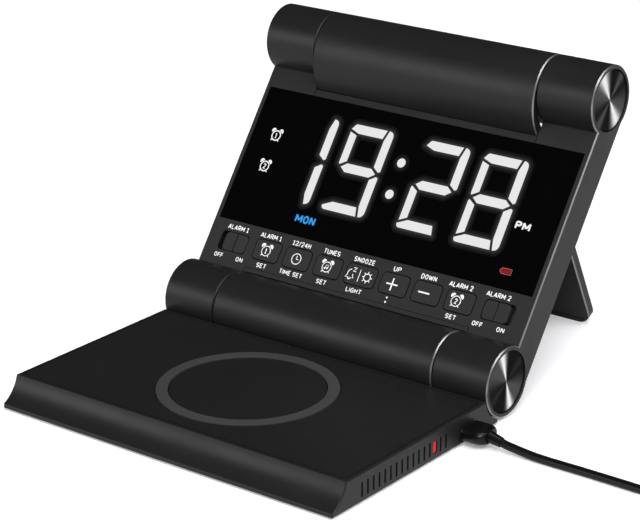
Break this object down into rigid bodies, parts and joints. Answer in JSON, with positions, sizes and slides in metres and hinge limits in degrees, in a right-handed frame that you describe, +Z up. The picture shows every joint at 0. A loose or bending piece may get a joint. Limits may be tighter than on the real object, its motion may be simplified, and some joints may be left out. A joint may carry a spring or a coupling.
{
  "type": "wireless charging alarm clock",
  "caption": "Folding bedside clock: flat wireless charging base, tilted digital display panel with a row of keys and slide switches, and a folding rear leg on barrel hinges.",
  "frame": {"origin": "middle of the footprint of base and rear leg, at the surface the clock stands on; the cable is not counted", "axes": "+X to the right of a person who reads the display, +Y to the back, +Z up"},
  "size_m": [0.2528, 0.1853, 0.1063],
  "materials": {
    "shell": "satin black moulded plastic",
    "key": "satin black key caps",
    "screen": "glossy smoked window",
    "board": "green circuit board",
    "rubber": "black rubber",
    "silicone": "dark grey silicone",
    "brushed": "radially brushed dark steel",
    "steel": "plain steel",
    "copper": "enamelled copper winding",
    "ferrite": "dark sintered ferrite",
    "light": "red light pipe",
    "cable": "black cable sheath"
  },
  "bodies": {
    "base": {"base_hinge_barrel": "shell", "base_top_plate": "shell", "base_tray": "shell", "cable_coil": "cable", "cable_run": "cable", "cable_tie": "rubber", "charge_coil": "copper", "charge_light": "light", "charger_board": "board", "ferrite_disc": "ferrite", "foot_front_left": "rubber", "foot_front_right": "rubber", "foot_rear_left": "rubber", "foot_rear_right": "rubber", "grip_ring": "silicone", "usb_a_plug": "cable", "usb_a_shell": "steel", "usb_c_plug": "cable", "usb_c_tip": "steel", "usb_socket": "steel"},
    "panel": {"cell_door": "shell", "coin_cell": "steel", "display_board": "board", "display_window": "screen", "key_board": "board", "lower_disc_left": "brushed", "lower_disc_right": "brushed", "lower_pin_left": "steel", "lower_pin_right": "steel", "panel_back_cover": "shell", "panel_housing": "shell", "speaker": "ferrite", "upper_disc_left": "brushed", "upper_disc_right": "brushed", "upper_pin_left": "steel", "upper_pin_right": "steel"},
    "leg": {"rear_leg": "shell", "leg_foot": "rubber"},
    "alarm_1_key": {"alarm_1_key": "key"},
    "time_key": {"time_key": "key"},
    "tunes_key": {"tunes_key": "key"},
    "snooze_key": {"snooze_key": "key"},
    "up_key": {"up_key": "key"},
    "down_key": {"down_key": "key"},
    "alarm_2_key": {"alarm_2_key": "key"},
    "alarm_1_slider": {"alarm_1_slider": "key"},
    "alarm_2_slider": {"alarm_2_slider": "key"}
  },
  "joints": [
    {"name": "panel_fold", "type": "hinge", "parent": "base", "child": "panel", "pos_m": [0, 0.00035, 0.0134], "axis": [1, 0, 0], "range_deg": [0, 122]},
    {"name": "leg_hinge", "type": "hinge", "parent": "panel", "child": "leg", "pos_m": [0, 0.05847, 0.09428], "axis": [1, 0, 0], "range_deg": [0, 117]},
    {"name": "alarm_1_key_press", "type": "slide", "parent": "panel", "child": "alarm_1_key", "axis": [0, 0.8121, -0.5835], "range_m": [0, 0.0006], "stiffness_N_per_m": 300},
    {"name": "time_key_press", "type": "slide", "parent": "panel", "child": "time_key", "axis": [0, 0.8121, -0.5835], "range_m": [0, 0.0006], "stiffness_N_per_m": 300},
    {"name": "tunes_key_press", "type": "slide", "parent": "panel", "child": "tunes_key", "axis": [0, 0.8121, -0.5835], "range_m": [0, 0.0006], "stiffness_N_per_m": 300},
    {"name": "snooze_key_press", "type": "slide", "parent": "panel", "child": "snooze_key", "axis": [0, 0.8121, -0.5835], "range_m": [0, 0.0006], "stiffness_N_per_m": 300},
    {"name": "up_key_press", "type": "slide", "parent": "panel", "child": "up_key", "axis": [0, 0.8121, -0.5835], "range_m": [0, 0.0006], "stiffness_N_per_m": 300},
    {"name": "down_key_press", "type": "slide", "parent": "panel", "child": "down_key", "axis": [0, 0.8121, -0.5835], "range_m": [0, 0.0006], "stiffness_N_per_m": 300},
    {"name": "alarm_2_key_press", "type": "slide", "parent": "panel", "child": "alarm_2_key", "axis": [0, 0.8121, -0.5835], "range_m": [0, 0.0006], "stiffness_N_per_m": 300},
    {"name": "alarm_1_slider_travel", "type": "slide", "parent": "panel", "child": "alarm_1_slider", "axis": [1, 0, 0], "range_m": [-0.0017, 0]},
    {"name": "alarm_2_slider_travel", "type": "slide", "parent": "panel", "child": "alarm_2_slider", "axis": [1, 0, 0], "range_m": [0, 0.0017]}
  ]
}
